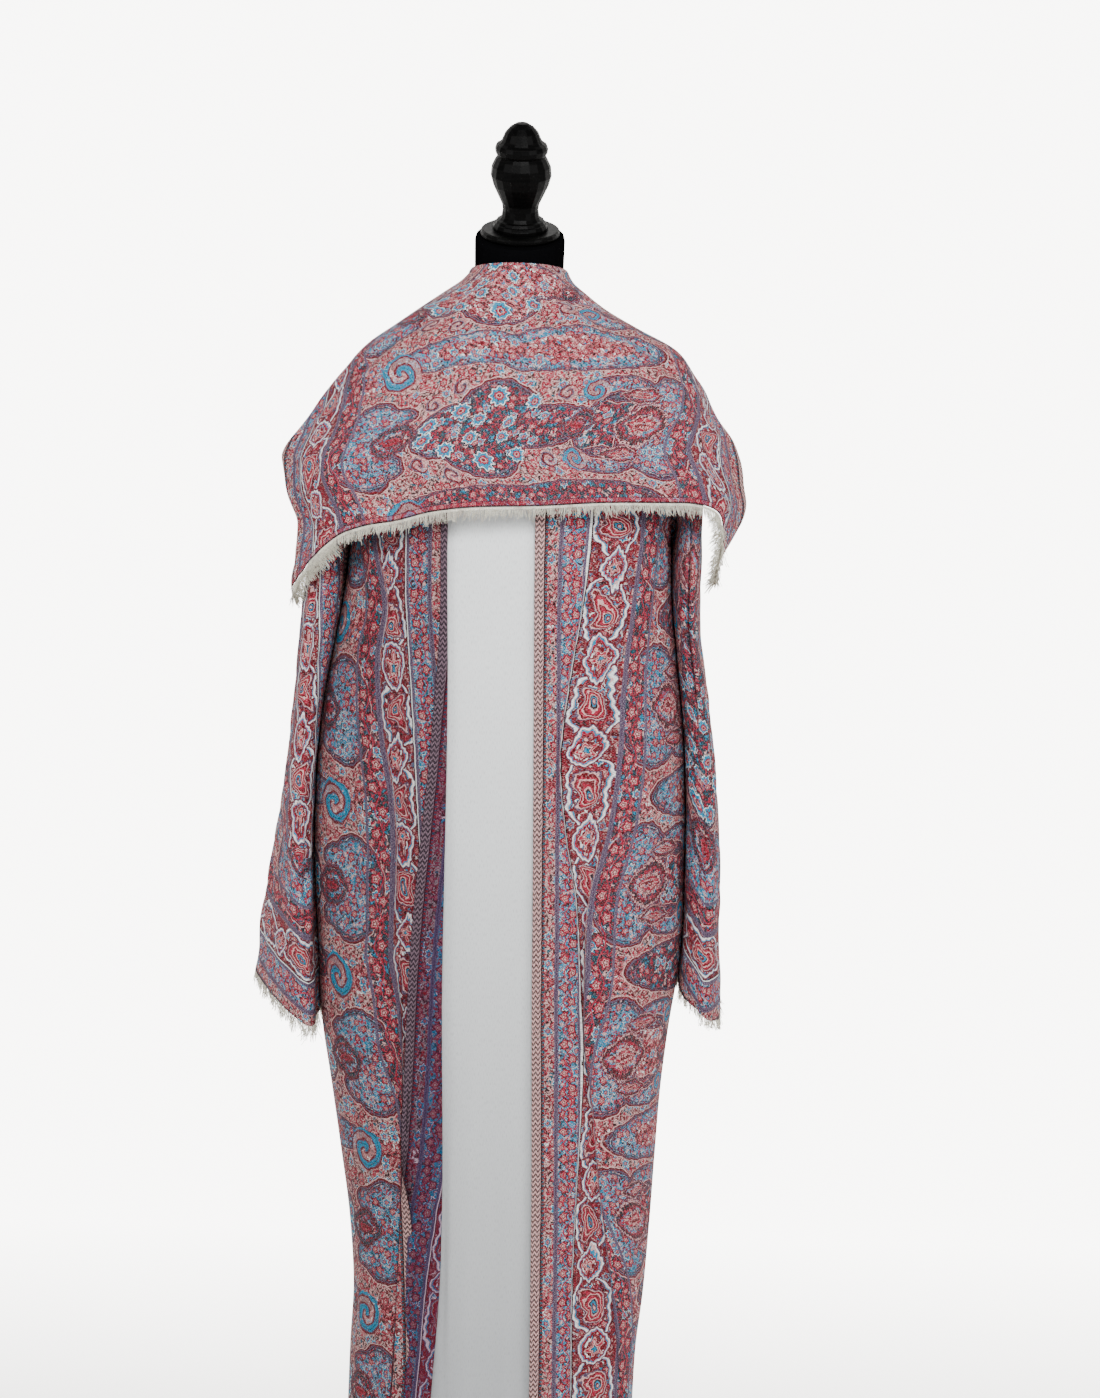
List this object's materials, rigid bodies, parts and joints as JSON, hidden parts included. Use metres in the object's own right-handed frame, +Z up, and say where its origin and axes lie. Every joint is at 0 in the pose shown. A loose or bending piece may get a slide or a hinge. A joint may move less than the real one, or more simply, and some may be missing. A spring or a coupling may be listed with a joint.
{
  "type": "abaya on dress form",
  "caption": "Long open-front abaya of paisley shawl cloth with a wide fringed cape collar and fringed sleeves, over a plain grey inner panel, on a limbless black dress form with a turned finial",
  "frame": {"origin": "Centre of the dress form's base, on the floor", "axes": "+Z is up, the front of the garment faces -Y, and +X is to the right of someone who looks at the front"},
  "size_m": [0.6219, 0.3128, 1.7156],
  "materials": {
    "shawl_cloth": "woven paisley shawl cloth with a soft sheen",
    "grey_cloth": "plain light grey weave",
    "fringe_yarn": "off-white frayed yarn",
    "black_velvet": "matte black velvet",
    "black_wood": "satin black paint on turned wood"
  },
  "bodies": {
    "root": {"back": "shawl_cloth", "collar": "shawl_cloth", "front_left": "shawl_cloth", "front_right": "shawl_cloth", "sleeve_left": "shawl_cloth", "sleeve_right": "shawl_cloth", "inner_panel": "grey_cloth", "collar_fringe": "fringe_yarn", "cuff_fringe_left": "fringe_yarn", "cuff_fringe_right": "fringe_yarn", "form_torso": "black_velvet", "form_neck_cover": "black_velvet", "form_cap": "black_wood", "form_finial": "black_wood", "form_pole": "black_wood", "form_base": "black_wood"}
  },
  "joints": []
}
